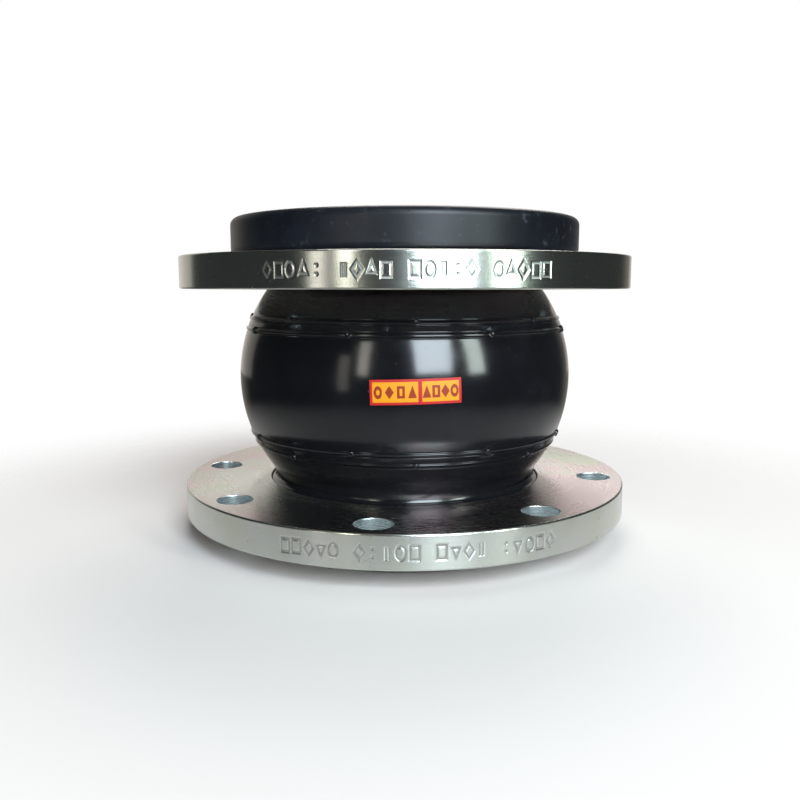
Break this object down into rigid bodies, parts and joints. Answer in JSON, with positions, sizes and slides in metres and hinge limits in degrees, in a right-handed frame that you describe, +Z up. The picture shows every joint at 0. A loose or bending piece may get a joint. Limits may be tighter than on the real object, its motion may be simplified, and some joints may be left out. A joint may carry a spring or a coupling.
{
  "type": "rubber expansion joint",
  "caption": "Single-arch rubber expansion joint: a short black rubber bellows with sealing heads and two loose drilled steel flanges, for a vibration-damping pipe connection.",
  "frame": {"origin": "centre of the lower sealing face, on which the joint stands", "axes": "+Z up along the flow axis, -Y towards the side that carries the label"},
  "size_m": [0.24, 0.24, 0.167],
  "materials": {
    "black_rubber": "moulded, semi-gloss",
    "liner_rubber": "moulded, satin",
    "nylon_cord": "rubberised nylon cord",
    "bead_steel": "bronzed bead wire",
    "zinc_steel": "turned and zinc plated",
    "label_film": "printed film"
  },
  "bodies": {
    "lower_end": {"lower_sealing_collar": "black_rubber", "lower_bead_wire": "bead_steel", "lower_bead_filler": "black_rubber"},
    "lower_neck": {"cover_lower_neck": "black_rubber"},
    "lower_shoulder": {"cover_lower_shoulder": "black_rubber"},
    "barrel": {"cover_barrel": "black_rubber", "label": "label_film", "inner_liner": "liner_rubber", "cord_ply_1": "nylon_cord", "cord_ply_2": "nylon_cord", "cord_ply_3": "nylon_cord", "cord_ply_4": "nylon_cord", "middle_rubber": "black_rubber"},
    "upper_shoulder": {"cover_upper_shoulder": "black_rubber"},
    "upper_end": {"cover_upper_neck": "black_rubber", "upper_sealing_collar": "black_rubber", "upper_bead_wire": "bead_steel", "upper_bead_filler": "black_rubber"},
    "lower_flange": {"lower_flange": "zinc_steel"},
    "upper_flange": {"upper_flange": "zinc_steel"}
  },
  "joints": [
    {"name": "lower_tilt_x", "type": "hinge", "parent": "lower_end", "child": "lower_neck", "pos_m": [0, 0, 0.0365], "axis": [1, 0, 0], "range_deg": [-7.5, 7.5], "stiffness_Nm_per_rad": 450, "deforming": ["cover_lower_neck", "inner_liner", "cord_ply_1", "cord_ply_2", "cord_ply_3", "cord_ply_4", "middle_rubber"]},
    {"name": "lower_tilt_y", "type": "hinge", "parent": "lower_neck", "child": "lower_shoulder", "pos_m": [0, 0, 0.0365], "axis": [0, 1, 0], "range_deg": [-7.5, 7.5], "stiffness_Nm_per_rad": 450, "deforming": ["cover_lower_shoulder", "inner_liner", "cord_ply_1", "cord_ply_2", "cord_ply_3", "cord_ply_4", "middle_rubber"]},
    {"name": "axial_travel", "type": "slide", "parent": "lower_shoulder", "child": "barrel", "axis": [0, 0, 1], "range_m": [-0.018, 0.012], "stiffness_N_per_m": 60000, "deforming": ["cover_barrel", "label", "inner_liner", "cord_ply_1", "cord_ply_2", "cord_ply_3", "cord_ply_4", "middle_rubber"]},
    {"name": "upper_tilt_x", "type": "hinge", "parent": "barrel", "child": "upper_shoulder", "pos_m": [0, 0, 0.1305], "axis": [1, 0, 0], "range_deg": [-7.5, 7.5], "stiffness_Nm_per_rad": 450, "deforming": ["cover_upper_shoulder", "inner_liner", "cord_ply_1", "cord_ply_2", "cord_ply_3", "cord_ply_4", "middle_rubber"]},
    {"name": "upper_tilt_y", "type": "hinge", "parent": "upper_shoulder", "child": "upper_end", "pos_m": [0, 0, 0.1305], "axis": [0, 1, 0], "range_deg": [-7.5, 7.5], "stiffness_Nm_per_rad": 450, "deforming": ["cover_upper_neck", "inner_liner", "cord_ply_1", "cord_ply_2", "cord_ply_3", "cord_ply_4", "middle_rubber"]},
    {"name": "lower_flange_swivel", "type": "hinge", "parent": "lower_end", "child": "lower_flange", "pos_m": [0, 0, 0.0194], "axis": [0, 0, 1], "continuous": true},
    {"name": "upper_flange_swivel", "type": "hinge", "parent": "upper_end", "child": "upper_flange", "pos_m": [0, 0, 0.1387], "axis": [0, 0, 1], "continuous": true}
  ]
}
